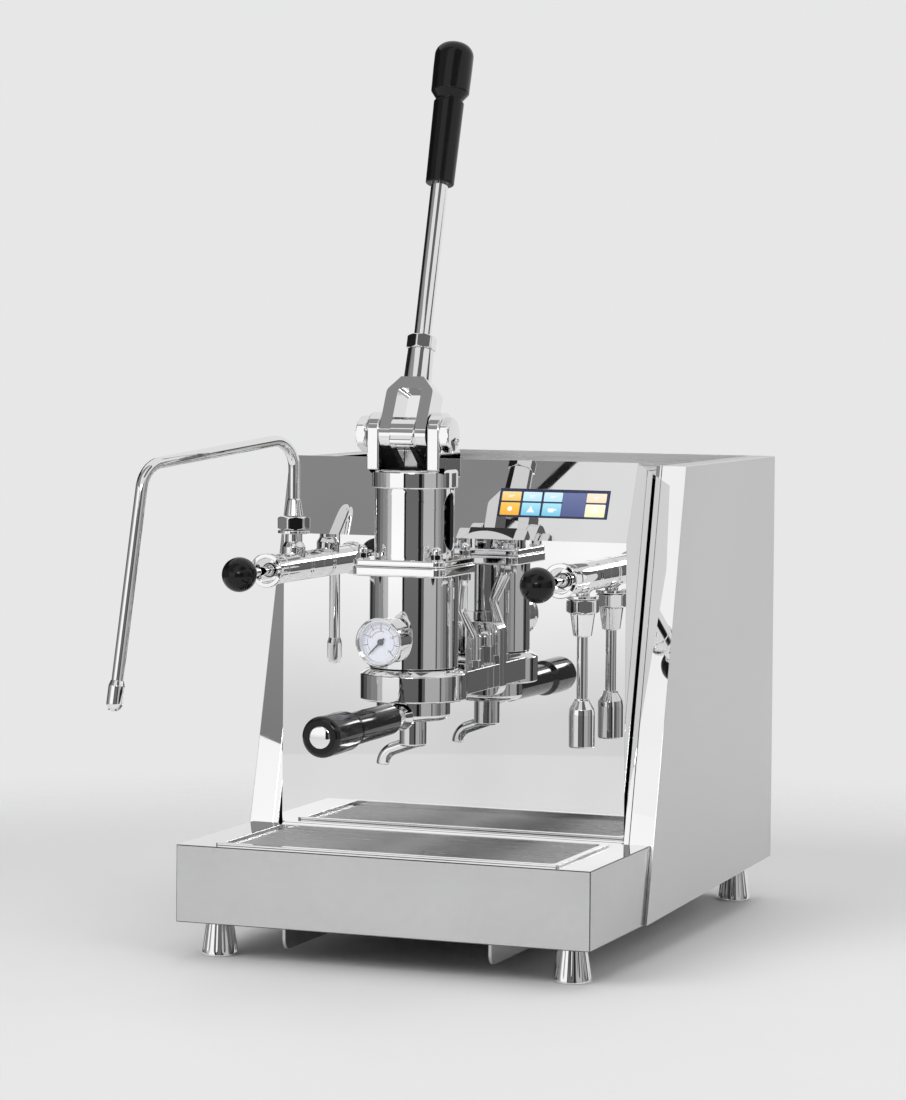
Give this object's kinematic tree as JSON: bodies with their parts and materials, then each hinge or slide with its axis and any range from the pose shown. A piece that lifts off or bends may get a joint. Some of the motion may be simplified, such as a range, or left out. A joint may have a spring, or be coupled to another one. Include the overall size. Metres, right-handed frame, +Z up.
{
  "type": "lever espresso machine",
  "caption": "Counter-top lever espresso machine with a spring-piston group on a mirror splash back, a locking portafilter, joystick steam and water taps and a lift-out drip tray.",
  "frame": {"origin": "on the counter, at the centre of the front left foot's base", "axes": "+X to the right seen from the front, +Y to the rear, +Z up"},
  "size_m": [0.436, 0.697, 0.8448],
  "materials": {
    "mirror_steel": "mirror polished",
    "chrome": "polished",
    "satin_steel": "satin",
    "zinc_steel": "matt",
    "spring_steel": "oiled",
    "copper_brass": "turned",
    "tank_plastic": "translucent",
    "motor_paint": "semi-gloss",
    "seal_rubber": "matt",
    "black_grip": "polished",
    "display_glass": "glossy",
    "dial_white": "matt",
    "needle_black": "matt",
    "gauge_glass": "clear"
  },
  "bodies": {
    "machine": {"fascia": "mirror_steel", "tray_box": "mirror_steel", "cup_tray": "mirror_steel", "feet": "chrome", "group_neck": "chrome", "acorn_nuts": "chrome", "inlet_pipe": "chrome", "group_bell": "chrome", "group_barrel": "chrome", "spring_housing": "chrome", "housing_cap": "chrome", "fulcrum_pin": "chrome", "pin_nut": "chrome", "gauge_stem": "chrome", "gauge_case": "chrome", "steam_tap": "chrome", "water_tap": "chrome", "steam_gland": "chrome", "water_gland": "chrome", "left_side_panel": "satin_steel", "right_side_panel": "satin_steel", "rear_cover": "satin_steel", "shower_screen": "satin_steel", "base_chassis": "zinc_steel", "chassis_rails": "zinc_steel", "control_box": "zinc_steel", "main_spring": "spring_steel", "steam_boiler": "copper_brass", "brew_boiler": "copper_brass", "water_tank": "tank_plastic", "pump": "motor_paint", "group_gasket": "seal_rubber", "display": "display_glass", "gauge_dial": "dial_white", "gauge_lens": "gauge_glass"},
    "basin": {"drip_basin": "mirror_steel"},
    "grate": {"drip_grate": "mirror_steel"},
    "lever": {"lever_fork": "chrome", "lever_cam": "chrome", "crank_pin": "chrome", "lock_nut": "chrome", "lever_rod": "chrome", "lever_grip": "black_grip"},
    "plunger": {"piston": "copper_brass", "piston_seals": "seal_rubber", "piston_rod": "satin_steel"},
    "needle": {"gauge_needle": "needle_black"},
    "portafilter": {"portafilter_body": "chrome", "filter_basket": "satin_steel", "portafilter_handle": "black_grip", "handle_cap": "chrome", "spout": "chrome"},
    "steam_joystick": {"steam_stem": "chrome", "steam_ball": "black_grip"},
    "water_joystick": {"water_stem": "chrome", "water_ball": "black_grip"},
    "steam_pipe": {"steam_wand": "chrome", "steam_tip": "chrome"},
    "water_pipe": {"water_wand": "chrome", "water_tip": "chrome"}
  },
  "joints": [
    {"name": "lever_pull", "type": "hinge", "parent": "machine", "child": "lever", "pos_m": [0.172, 0.026, 0.481], "axis": [1, 0, 0], "range_deg": [0, 105], "stiffness_Nm_per_rad": 15, "springref_deg": -11.46},
    {"name": "piston_lift", "type": "slide", "parent": "machine", "child": "plunger", "axis": [0, 0, 1], "range_m": [0, 0.0445], "deforming": ["main_spring"]},
    {"name": "portafilter_turn", "type": "hinge", "parent": "machine", "child": "portafilter", "pos_m": [0.172, 0.045, 0.23], "axis": [0, 0, 1], "range_deg": [-45, 0]},
    {"name": "steam_lever", "type": "hinge", "parent": "machine", "child": "steam_joystick", "pos_m": [0.028, 0.045, 0.352], "axis": [1, 0, 0], "range_deg": [-12, 12], "stiffness_Nm_per_rad": 3},
    {"name": "water_lever", "type": "hinge", "parent": "machine", "child": "water_joystick", "pos_m": [0.316, 0.045, 0.352], "axis": [1, 0, 0], "range_deg": [-12, 12], "stiffness_Nm_per_rad": 3},
    {"name": "steam_swing", "type": "hinge", "parent": "machine", "child": "steam_pipe", "pos_m": [0.028, 0.1, 0.4], "axis": [0, 0, 1], "range_deg": [-40, 20]},
    {"name": "water_swivel", "type": "hinge", "parent": "machine", "child": "water_pipe", "pos_m": [0.316, 0.1, 0.3], "axis": [0, 0, 1], "range_deg": [-60, 60]},
    {"name": "gauge_turn", "type": "hinge", "parent": "machine", "child": "needle", "pos_m": [0.172, -0.035, 0.297], "axis": [0, 1, 0], "range_deg": [0, 270], "stiffness_Nm_per_rad": 0.0005},
    {"name": "basin_lift", "type": "slide", "parent": "machine", "child": "basin", "axis": [0, 0, 1], "range_m": [0, 0.035]},
    {"name": "grate_lift", "type": "slide", "parent": "basin", "child": "grate", "axis": [0, 0, 1], "range_m": [0, 0.04]}
  ],
  "couplings": [
    {"joint": "piston_lift", "follows": "lever_pull", "m_per_rad": 0.024243}
  ]
}
